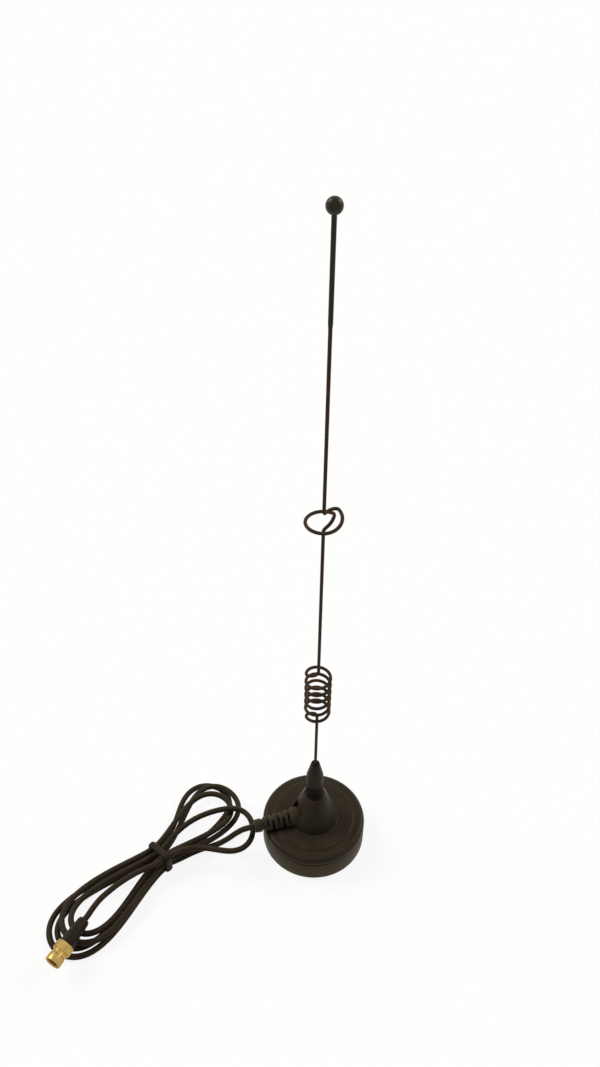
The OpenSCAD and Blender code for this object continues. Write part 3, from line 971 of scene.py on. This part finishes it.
def hank_tie():
    line = tie_outline(CABLE_D / 2 + TIE_GAP + TIE_T)
    let_go()
    bpy.ops.mesh.primitive_circle_add(vertices=len(line), radius=0.005)
    band = bpy.context.object
    band.name = "hank_tie_strap"
    for vertex, p in zip(band.data.vertices, line):
        vertex.co = (p.x * MM, p.y * MM, -TIE_W / 2 * MM)
    bpy.ops.object.mode_set(mode="EDIT")
    bpy.ops.mesh.select_all(action="SELECT")
    grown = 1
    for i in range(TIE_RINGS):
        bpy.ops.mesh.extrude_region_move(TRANSFORM_OT_translate={"value": (0, 0, TIE_W / TIE_RINGS * MM)})
        across = 2 * (i + 1) / TIE_RINGS - 1
        grow = 1 + TIE_CROWN * (1 - across * across)
        bpy.ops.transform.resize(value=(grow / grown, grow / grown, 1), center_override=(0, 0, 0))
        grown = grow
    bpy.ops.mesh.select_all(action="SELECT")
    bpy.ops.mesh.normals_make_consistent(inside=False)
    bpy.ops.object.mode_set(mode="OBJECT")
    wall = band.modifiers.new("wall", "SOLIDIFY")
    wall.thickness = TIE_T * MM
    wall.offset = -1
    bpy.ops.object.modifier_apply(modifier=wall.name)
    soften(band, 0.33, segments=5, angle=50)
    place = (
        Matrix.Translation((HANK_WAIST.x * MM, HANK_WAIST.y * MM, 0))
        @ Matrix.Rotation(math.radians(90 + HANK_YAW), 4, "Z")
        @ Matrix.Rotation(math.radians(90), 4, "X")
    )
    put(band, place)
    return done(band, "base", "tie_plastic", "hank_tie", angle=40)


# The plug: boot, body, coupling nut and its core


def connector_boot():
    corners = [(1.35, 0, 0), (2.4, 0, 0.4), (2.75, 1.2, 1.2), (3.3, 9, 3), (3.35, 12.4, 0.4)]
    corners += [(3.15, 12.4, 0), (3.15, 10.5, 0), (2.21, 10.5, 0), (2.21, 3.5, 0)]
    boot = turned("connector_boot_sleeve", rounded(corners, steps=6), 48)
    put(boot, ON_PLUG)
    return done(boot, "base", "black_rubber", "connector_boot", finish=black_vinyl)


HEX_ACROSS, HEX_LONG, HEX_MIDDLE = 8, 3.6, 14.4


def coupling_nut():
    let_go()
    bpy.ops.mesh.primitive_cylinder_add(
        vertices=6,
        radius=HEX_ACROSS / 2 / cos_deg(30) * MM,
        depth=HEX_LONG * MM,
        location=(0, 0, HEX_MIDDLE * MM),
    )
    nut = bpy.context.object
    nut.name = "coupling_nut_hex"
    bpy.ops.object.transform_apply(location=True, rotation=True, scale=True)
    chamfer = [(3.95, 12.5), (3.95, 12.62), (4.4, 12.9), (4.62, 13.3)]
    chamfer += [(4.62, 15.5), (3.8, 16.19), (3.8, 16.3)]
    with_tool(nut, turned("chamfer", chamfer, 96), "INTERSECT")
    barrel = [(3.2, 15, 0), (3.36, 15, 0), (3.36, 18, 0.2), (3.7, 18.3, 0.3), (3.7, 21.6, 0.3), (2, 21.6, 0)]
    with_tool(nut, turned("barrel", rounded(barrel), 96), "UNION")
    bore = [(2.66, 10), (2.66, 13), (3.1, 13), (3.1, 14), (2.84, 14), (2.84, 20.9), (3.36, 21.65), (3.36, 23)]
    with_tool(nut, threaded_rod("tap", core=2.7, crest=3.12, pitch=0.7, low=14.4, high=23))
    with_tool(nut, turned("bore", bore, 80))
    put(nut, ON_PLUG)
    return done(nut, "nut", "gold", "coupling_nut", angle=25)


# The cable's mesh is drawn this much thinner, which keeps it inside the CAD's box
CABLE_EASE = 0.08


def coiled_cable():
    cable = as_mesh(round_bar("coiled_cable", cable_line(), CABLE_D - CABLE_EASE, 4))
    return done(cable, "base", "cable_jacket", "cable_lead", "cable_hank", "cable_tail", angle=50)


base_cover()
base_housing()
bottom_pad()
relief = strain_relief()
whip_seal()
whip_ferrule()
whip_stud()
whip_wire()
tip_sleeve()
ball_tip()
tie = hank_tie()
boot = connector_boot()
nut = coupling_nut()
cable = coiled_cable()

# The nodes that stay as the CAD made them take the same finishes
for part in frame["record"]["subparts"]:
    node = frame["nodes"][part["node"]]
    if not node.hide_render:
        for place in node.material_slots:
            place.material = FINISHES[part["material_slot"]]


# Floor, world and lamps; the sky's strength runs from the camera's side to the far side

BEHIND = 74
SKY_FRONT, SKY_BEHIND = 0.05, 0.34
PAPER, PAPER_WHITE, PAPER_WHITE_SHARE = 0.93, 1.05, 0.84


def seen_white(tree):
    """1 where the camera looks, straight, in metal or through glass, and 0 for the light on the part."""
    path = tree.nodes.new("ShaderNodeLightPath")
    seen = path.outputs["Is Camera Ray"]
    for ray in ("Is Glossy Ray", "Is Transmission Ray"):
        either = tree.nodes.new("ShaderNodeMath")
        either.operation = "MAXIMUM"
        tree.links.new(seen, either.inputs[0])
        tree.links.new(path.outputs[ray], either.inputs[1])
        seen = either.outputs["Value"]
    return seen


def studio_floor():
    let_go()
    bpy.ops.mesh.primitive_plane_add(size=16, location=(0, 0, -0.0002))
    floor = bpy.context.object
    floor.name = "studio_floor"
    material = bpy.data.materials.new("white_paper")
    material.use_nodes = True
    tree = material.node_tree
    tree.nodes.remove(tree.nodes["Principled BSDF"])
    paper = tree.nodes.new("ShaderNodeBsdfDiffuse")
    paper.inputs["Color"].default_value = (PAPER, PAPER, PAPER, 1)
    white = tree.nodes.new("ShaderNodeEmission")
    white.inputs["Strength"].default_value = PAPER_WHITE
    share = tree.nodes.new("ShaderNodeMath")
    share.operation = "MULTIPLY"
    share.inputs[1].default_value = PAPER_WHITE_SHARE
    mix = tree.nodes.new("ShaderNodeMixShader")
    tree.links.new(seen_white(tree), share.inputs[0])
    tree.links.new(share.outputs["Value"], mix.inputs["Fac"])
    tree.links.new(paper.outputs["BSDF"], mix.inputs[1])
    tree.links.new(white.outputs["Emission"], mix.inputs[2])
    tree.links.new(mix.outputs["Shader"], tree.nodes["Material Output"].inputs["Surface"])
    floor.data.materials.append(material)


def studio_world():
    world = bpy.data.worlds.new("studio_world")
    bpy.context.scene.world = world
    world.use_nodes = True
    tree = world.node_tree
    sky = tree.nodes["Background"]
    sky.inputs["Color"].default_value = (1.0, 0.98, 0.95, 1)
    way = tree.nodes.new("ShaderNodeTexCoord")
    behind = tree.nodes.new("ShaderNodeVectorMath")
    behind.operation = "DOT_PRODUCT"
    behind.inputs[1].default_value = (cos_deg(BEHIND), sin_deg(BEHIND), 0)
    level = tree.nodes.new("ShaderNodeMapRange")
    level.inputs["From Min"].default_value = -1
    level.inputs["To Min"].default_value = SKY_FRONT
    level.inputs["To Max"].default_value = SKY_BEHIND
    tree.links.new(way.outputs["Generated"], behind.inputs[0])
    tree.links.new(behind.outputs["Value"], level.inputs["Value"])
    tree.links.new(level.outputs["Result"], sky.inputs["Strength"])
    white = tree.nodes.new("ShaderNodeBackground")
    white.inputs["Color"].default_value = (1, 1, 1, 1)
    white.inputs["Strength"].default_value = 1.0
    mix = tree.nodes.new("ShaderNodeMixShader")
    tree.links.new(seen_white(tree), mix.inputs["Fac"])
    tree.links.new(sky.outputs["Background"], mix.inputs[1])
    tree.links.new(white.outputs["Background"], mix.inputs[2])
    tree.links.new(mix.outputs["Shader"], tree.nodes["World Output"].inputs["Surface"])


def window_light(name, azimuth, elevation, spread, strength, colour=(1, 0.97, 0.92)):
    """Broad daylight from so far round and up, softened by its spread in degrees."""
    data = bpy.data.lights.new(name, "SUN")
    data.angle, data.energy, data.color = math.radians(spread), strength, colour
    obj = bpy.data.objects.new(name, data)
    bpy.context.scene.collection.objects.link(obj)
    way = heading(azimuth, elevation)
    obj.matrix_world = Matrix.Translation(way) @ way.to_track_quat("Z", "Y").to_matrix().to_4x4()


studio_floor()
studio_world()
window_light("window_left", azimuth=140, elevation=44, spread=28, strength=1.6)
window_light("window_right", azimuth=8, elevation=36, spread=28, strength=1.2)

bpy.context.scene.view_settings.view_transform = "Standard"

let_go()
bpy.context.view_layer.update()
